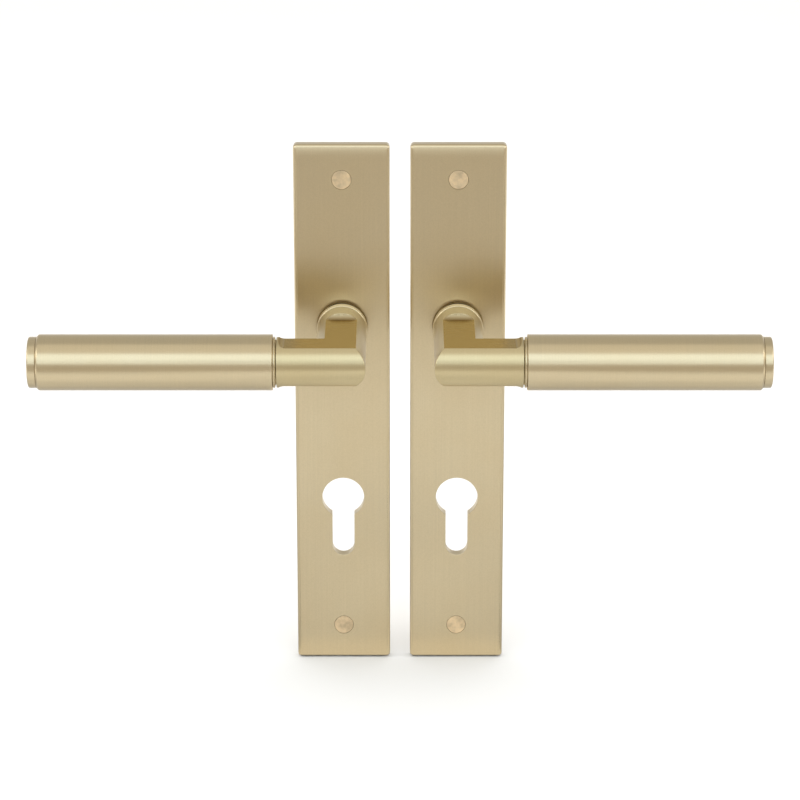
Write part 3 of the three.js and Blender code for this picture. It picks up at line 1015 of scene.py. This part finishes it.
def with_grub_hole(made, side):
    """Bores the hole of the grub screw through the underside of the neck."""
    cutter_bm = grub_cutter()
    bmesh.ops.transform(cutter_bm, matrix=to_world(side), verts=cutter_bm.verts)
    bmesh.ops.recalc_face_normals(cutter_bm, faces=cutter_bm.faces)
    mesh = bpy.data.meshes.new("cutter")
    cutter_bm.to_mesh(mesh)
    cutter_bm.free()
    cutter = bpy.data.objects.new("cutter", mesh)
    bpy.context.scene.collection.objects.link(cutter)
    boolean = made.modifiers.new("grub_hole", "BOOLEAN")
    boolean.operation = "DIFFERENCE"
    boolean.solver = "EXACT"
    boolean.object = cutter
    made.modifiers.move(len(made.modifiers) - 1, 0)
    made.modifiers["weighted"].show_viewport = False
    depsgraph = bpy.context.evaluated_depsgraph_get()
    baked = bpy.data.meshes.new_from_object(made.evaluated_get(depsgraph))
    made.modifiers.remove(boolean)
    made.modifiers["weighted"].show_viewport = True
    old = made.data
    made.data = baked
    baked.name = old.name + "_bored"
    bpy.data.meshes.remove(old)
    bpy.data.objects.remove(cutter)
    bpy.data.meshes.remove(mesh)
    bm = bmesh.new()
    bm.from_mesh(made.data)
    mark_sharp(bm)
    bm.to_mesh(made.data)
    bm.free()


def grub_screw():
    bm = bmesh.new()
    radius = (GRUB_HIGH.x - GRUB_LOW.x) / 2
    low, high = GRUB_LOW.y, GRUB_HIGH.y
    sections = circles([(0.9, high), (radius - 0.4, high)], axis="y")
    for ring in reversed(thread(radius, 0.25, 0.8, low + 0.35, high - 0.35)):
        sections.append([(x, z, y) for x, y, z in ring])
    sections += circles([(radius - 0.3, low)], axis="y")
    sections += hexagons([(1.35, low), (1.25, low + 0.12), (1.25, low + 2.3), (0.3, low + 2.5)], "y")
    skin(bm, [[(x, y, z + GRUB_AT) for x, y, z in section] for section in sections])
    return bm


# -------------------- grip


def grip_core():
    """Tenon, full bobbin and tie rod."""
    bm = bmesh.new()
    shoulder = BAR_END + GAP
    radius = CORE_HIGH.y
    profile = softened([
        (1.0, CORE_LOW.x, 0),
        (TENON_RADIUS, CORE_LOW.x, 0.5),
        (TENON_RADIUS, shoulder, 0.2),
        (radius, shoulder, 0.15),
        (radius, shoulder + BOBBIN_LENGTH, 0.6),
        (TIE_RADIUS, shoulder + BOBBIN_LENGTH, 0.8),
        (TIE_RADIUS, CORE_HIGH.x, 0.4),
        (1.0, CORE_HIGH.x, 0),
    ])
    turned(bm, profile, "x", 96, GRIP)
    return bm


def grip_ring():
    bm = bmesh.new()
    inner, outer = CORE_HIGH.y + GAP, RING_HIGH.y
    low, high = RING_LOW.x, RING_HIGH.x
    soft = 0.2
    edge = 0.3 * soft
    profile = [(inner, low), (outer - soft, low), (outer - edge, low + edge), (outer, low + soft)]
    profile += [(outer, high - soft), (outer - edge, high - edge), (outer - soft, high), (inner, high)]
    turned(bm, profile, "x", SIDES, GRIP, closed=True)
    return bm


def grip_sleeve():
    bm = bmesh.new()
    start, end = SLEEVE_LOW.x, SLEEVE_HIGH.x
    radius, bore = SLEEVE_RADIUS, SLEEVE_BORE
    chamfer = 0.9
    parts, long_run = 12, 20  # the long straight stretch is split into parts
    outside = softened([
        (bore, start + 0.1, 0),
        (bore + 0.1, start, 0.05),
        (radius, start, 0.25),
        (radius, end - chamfer, 0.35),
        (radius - chamfer, end, 0.25),
        (bore + 0.1, end, 0.05),
        (bore, end - 0.1, 0),
    ])
    stretch = []
    for near, far in zip(outside, outside[1:]):
        stretch.append(near)
        run = far[1] - near[1]
        if run > long_run:
            stretch += [(near[0], near[1] + run * k / parts) for k in range(1, parts)]
    stretch.append(outside[-1])
    turned(bm, stretch, "x", SIDES, GRIP, closed=True)
    return bm


def end_cap():
    bm = bmesh.new()
    inside, end = CAP_LOW.x, CAP_HIGH.x
    radius = CAP_HIGH.y
    shoulder = SLEEVE_HIGH.x + CAP_GAP
    profile = softened([
        (1.5, inside, 0),
        (SPIGOT_RADIUS, inside, 0.5),
        (SPIGOT_RADIUS, shoulder, 0.15),
        (radius, shoulder, 0.2),
        (radius, end, 0.85),
        (radius - 3.0, end, 0.6),
        (0.4, end - 0.06, 0),
    ], steps=6)
    turned(bm, profile, "x", SIDES, GRIP)
    return bm


def spindle():
    """The square bar that joins the levers through the door, with broken edges and chamfered ends."""
    bm = bmesh.new()
    half = (SPINDLE_HIGH.z - SPINDLE_LOW.z) / 2 / MM
    back, front = -SPINDLE_HIGH.y / MM, -SPINDLE_LOW.y / MM
    lead = ((0.9, 0.0), (0.12, 0.8), (0.0, 1.0))  # how far in each side is, by distance from an end
    levels = [(inset, back + along) for inset, along in lead]
    levels += [(inset, front - along) for inset, along in reversed(lead)]
    sections = []
    for inset, z in levels:
        shape = rounded_rectangle(2 * (half - inset), 2 * (half - inset), 0.45, steps=4)
        sections.append(along_axis(shape, z, "z"))
    skin(bm, sections)
    return bm


# -------------------- the two handles

for side in ("left", "right"):
    lever = f"{side}_lever"
    piece("backplate", side, backplate(), ["plate"], "plates")
    for end, height in FIXING_HEIGHTS.items():
        piece(f"plug_{end}", side, plug(height), ["plug"], "plates")
        if side == "left":
            piece(f"fixing_screw_{end}", side, fixing_screw(height), ["steel"], "plates")
        else:
            piece(f"fixing_post_{end}", side, fixing_post(height), ["steel"], "plates")
    piece("neck_bush", side, neck_bush(), ["nylon"], "plates")
    piece("torsion_spring", side, torsion_spring(), ["spring"], "plates")
    piece("drive_washer", side, drive_washer(), ["steel"], lever)
    piece("circlip", side, circlip(), ["spring"], lever)
    body = piece("lever_body", side, lever_body(), ["bar", "neck", "flat", "hollow", "rim"], lever)
    with_grub_hole(body, side)
    piece("grub_screw", side, grub_screw(), ["spring"], lever)
    piece("grip_core", side, grip_core(), ["core"], lever)
    piece("grip_ring", side, grip_ring(), ["grip"], lever)
    piece("grip_sleeve", side, grip_sleeve(), ["grip"], lever)
    piece("end_cap", side, end_cap(), ["grip"], lever)
piece("spindle", "left", spindle(), ["steel"], "left_lever")

# -------------------- studio

CAMERA_ELEVATION = 19.0
CAMERA_DISTANCE = 1.5
CAMERA_TARGET = Vector((0.0, -0.030, -0.0279))
CAMERA_LENS = 147.15

FLOOR_DROP = 0.0005
FLOOR_SIZE = 14.0
floor_level = cad_low.z - FLOOR_DROP


def floor_material():
    m = Nodes("pale_floor")
    cloud = m.noise((2.0, 2.0, 2.0))
    tone = m.mix(m.spread(cloud, 0.0, 1.0), (0.80, 0.80, 0.80), (0.82, 0.82, 0.82))
    m.link(tone, m.shader.inputs["Base Color"])
    m.shader.inputs["Roughness"].default_value = 0.9
    m.shader.inputs["Specular IOR Level"].default_value = 0.1
    return m.material


def plane(name, width, depth, material):
    bm = bmesh.new()
    bmesh.ops.create_grid(bm, x_segments=1, y_segments=1, size=0.5)
    bmesh.ops.scale(bm, vec=(width, depth, 1), verts=bm.verts)
    mesh = bpy.data.meshes.new(name)
    bm.to_mesh(mesh)
    bm.free()
    mesh.materials.append(material)
    made = bpy.data.objects.new(name, mesh)
    bpy.context.scene.collection.objects.link(made)
    return made


floor = plane("floor", FLOOR_SIZE, FLOOR_SIZE, floor_material())
floor.location = (0, 0, floor_level)


def soft_light(name, place, target, width, height, radiance, colour=(1, 1, 1), glossy=True):
    """An area light of a given brightness, aimed at a point. The camera doesn't see it."""
    data = bpy.data.lights.new(name, "AREA")
    data.shape = "RECTANGLE"
    data.size = width
    data.size_y = height
    data.energy = radiance * math.pi * width * height
    data.color = colour
    made = bpy.data.objects.new(name, data)
    made.location = place
    aim = Vector(target) - Vector(place)
    made.rotation_euler = aim.to_track_quat("-Z", "Y").to_euler()
    made.visible_camera = False
    made.visible_glossy = glossy
    bpy.context.scene.collection.objects.link(made)
    return made


def around(elevation, distance, azimuth=0.0):
    """A point seen from the object at an elevation, in degrees. Azimuth 0 is straight in front."""
    out, rise = turn(elevation, distance)
    side_x, side_y = turn(azimuth - 90, out)
    return side_x, side_y, rise


CENTRE = (0.0, -0.04, 0.0)
COOL = (0.81, 1.0, 1.2)
WARM = (1.03, 1.0, 0.93)
NEUTRAL = (1.03, 1.0, 0.97)
soft_light("key", around(30, 1.7), CENTRE, width=2.8, height=1.33, radiance=1.04, colour=COOL)
soft_light("overhead", around(73, 1.9), CENTRE, width=3.0, height=1.5, radiance=0.28, colour=WARM)
for name, azimuth in (("left_side", -75), ("right_side", 75)):
    soft_light(name, around(27, 1.4, azimuth), CENTRE, width=0.9, height=0.6, radiance=2.0)
soft_light("floor_fill", (0, 1.1, 2.6), (0, 1.1, 0), 4.5, 4.5, radiance=1.3, colour=NEUTRAL, glossy=False)


def glow_material(name, colour, strength):
    """An even glow, for the cards that only the metal sees."""
    material = bpy.data.materials.new(name)
    material.use_nodes = True
    tree = material.node_tree
    tree.nodes.clear()
    glow = tree.nodes.new("ShaderNodeEmission")
    glow.inputs["Color"].default_value = (*colour, 1.0)
    glow.inputs["Strength"].default_value = strength
    out = tree.nodes.new("ShaderNodeOutputMaterial")
    tree.links.new(glow.outputs["Emission"], out.inputs["Surface"])
    return material


def painted_shade_material(name, tone):
    """A patch of the floor that less light reaches, as the metal sees it."""
    m = Nodes(name)
    cloud = m.noise((4.0, 4.0, 4.0))
    shade = m.mix(m.spread(cloud, 0.0, 1.0), (tone - 0.01,) * 3, (tone + 0.01,) * 3)
    m.link(shade, m.shader.inputs["Base Color"])
    m.shader.inputs["Roughness"].default_value = 1.0
    m.shader.inputs["Specular IOR Level"].default_value = 0.0
    return m.material


def seen_in_metal_only(prop):
    prop.visible_camera = False
    prop.visible_shadow = False
    prop.visible_diffuse = False
    prop.visible_transmission = False


def grey_card(name, low_x, high_x, away, height):
    """A dim upright card in front of the object, at the level of the horizon."""
    card = plane(name, high_x - low_x, height, glow_material(name, (1.0, 0.927, 0.815), 0.6))
    card.rotation_euler = (math.radians(90), 0, 0)
    card.location = ((low_x + high_x) / 2, -away, floor_level + height / 2)
    seen_in_metal_only(card)


# A patch of painted shade on the floor, seen only in the metal.
def painted_shade_patch(name, low_x, high_x, low_y, high_y, tone):
    patch_of_shade = plane(name, high_x - low_x, high_y - low_y, painted_shade_material(name, tone))
    patch_of_shade.location = ((low_x + high_x) / 2, (low_y + high_y) / 2, floor_level + PATCH_LIFT)
    seen_in_metal_only(patch_of_shade)
    return patch_of_shade


# Painted shade on the floor: darker under and behind the handles, under the cards and far in front.
PATCH_LIFT = 0.0001
SHADE_PATCH_TONES = ((-0.36, -0.25, 0.68), (-0.25, -0.14, 0.58), (-0.14, 0.2, 0.71))  # from y, to y, tone
SHADE_PATCH_FRONT = -0.36  # the wide patch of painted shade ends here
FAR = 3.0
CARD_AWAY = 0.445
CARD_HEIGHT = 0.242
CENTRE_AWAY = 0.55
CENTRE_HEIGHT = 0.265
CENTRE_HALF = 0.11  # half the width of the stretch that the plates and bars reflect
PLATES_HALF = 0.055
GRIPS_END = 0.45
BAND = 0.1
grey_card("card_centre", -CENTRE_HALF, CENTRE_HALF, CENTRE_AWAY, CENTRE_HEIGHT)
painted_shade_patch("shade_patch_front", -FAR, FAR, -FAR, SHADE_PATCH_FRONT, 0.79)
for i, (low_y, high_y, tone) in enumerate(SHADE_PATCH_TONES):
    painted_shade_patch(f"mat_plates_{i}", -PLATES_HALF, PLATES_HALF, low_y, high_y, tone)
for hand, sign in (("left", -1), ("right", 1)):
    low_x, high_x = sorted((sign * CENTRE_HALF, sign * FAR))
    grey_card(f"card_{hand}", low_x, high_x, CARD_AWAY, CARD_HEIGHT)
    low_x, high_x = sorted((sign * PLATES_HALF, sign * GRIPS_END))
    painted_shade_patch(f"mat_side_{hand}", low_x, high_x, SHADE_PATCH_FRONT, -0.14, 0.70)
    painted_shade_patch(f"mat_grip_{hand}", low_x, high_x, -0.14, -0.04, 0.58)
    painted_shade_patch(f"mat_back_{hand}", low_x, high_x, -0.04, 0.3, 0.45)
    low_x, high_x = sorted((sign * CENTRE_HALF, sign * GRIPS_END))
    band = painted_shade_patch(f"mat_band_{hand}", low_x, high_x, -CARD_AWAY, BAND - CARD_AWAY, 0.53)
    band.location.z += PATCH_LIFT

# Light that the floor throws back onto the feet of the plates.
FOOT_NEAR, FOOT_FAR = -0.006, -0.026
foot_light = glow_material("foot_glow", (1.0, 0.96, 0.87), 0.95)
foot_glow = plane("foot_glow", 2 * PLATES_HALF, FOOT_NEAR - FOOT_FAR, foot_light)
foot_glow.location = (0, (FOOT_NEAR + FOOT_FAR) / 2, floor_level + 3 * PATCH_LIFT)
seen_in_metal_only(foot_glow)

# The metal also sees the dark shape of the camera, straight in front.
LENS_AWAY = 1.2
lens_card = plane("lens_card", 0.24, 0.22, glow_material("lens_card", (1.0, 1.0, 1.0), 0.4))
lens_card.location = around(CAMERA_ELEVATION, LENS_AWAY)
lens_card.rotation_euler = (math.radians(90 - CAMERA_ELEVATION), 0, 0)
seen_in_metal_only(lens_card)


WALL_TONES = ((0.08, (0.92, 0.92, 0.92)), (0.26, (0.61, 0.6, 0.565)))  # by height


def studio_walls():
    """Pale near the horizon, greyer overhead."""
    world = bpy.data.worlds.new("studio")
    world.use_nodes = True
    bpy.context.scene.world = world
    tree = world.node_tree
    background = tree.nodes["Background"]
    place = tree.nodes.new("ShaderNodeTexCoord")
    split = tree.nodes.new("ShaderNodeSeparateXYZ")
    ramp = tree.nodes.new("ShaderNodeValToRGB")
    tree.links.new(place.outputs["Generated"], split.inputs["Vector"])
    tree.links.new(split.outputs["Z"], ramp.inputs["Fac"])
    tree.links.new(ramp.outputs["Color"], background.inputs["Color"])
    for stop, (position, tone) in zip(ramp.color_ramp.elements, WALL_TONES):
        stop.position = position
        stop.color = (*tone, 1)
    background.inputs["Strength"].default_value = 1.0


studio_walls()

# -------------------- camera

camera_data = bpy.data.cameras.new("camera")
camera_data.lens = CAMERA_LENS
camera_data.sensor_width = 36.0
camera_data.clip_end = 50.0
camera = bpy.data.objects.new("camera", camera_data)
camera.location = CAMERA_TARGET + Vector(around(CAMERA_ELEVATION, CAMERA_DISTANCE))
camera.rotation_euler = (CAMERA_TARGET - camera.location).to_track_quat("-Z", "Y").to_euler()
bpy.context.scene.collection.objects.link(camera)
bpy.context.scene.camera = camera
bpy.context.scene.view_settings.view_transform = "Standard"
